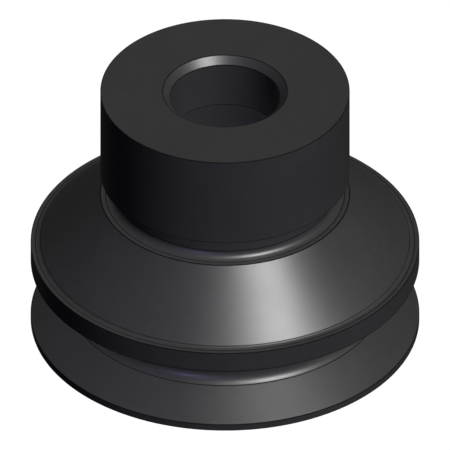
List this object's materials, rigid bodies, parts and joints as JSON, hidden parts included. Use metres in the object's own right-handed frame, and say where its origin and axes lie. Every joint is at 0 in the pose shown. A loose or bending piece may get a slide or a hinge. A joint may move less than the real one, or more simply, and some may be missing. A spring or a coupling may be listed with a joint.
{
  "type": "bellows suction cup",
  "caption": "Moulded black rubber bellows suction cup with a thick bored collar, a flared fold with an upright rim, and a thin conical sealing lip.",
  "frame": {"origin": "on the cup's axis, in the plane that the sealing lip rests on", "axes": "+Z along the axis, from the sealing lip up to the bored collar; X and Y may lie any way, because the cup is round"},
  "size_m": [0.053, 0.053, 0.038],
  "materials": {
    "rubber": "satin"
  },
  "bodies": {
    "root": {"bellows_cup": "rubber"}
  },
  "joints": []
}
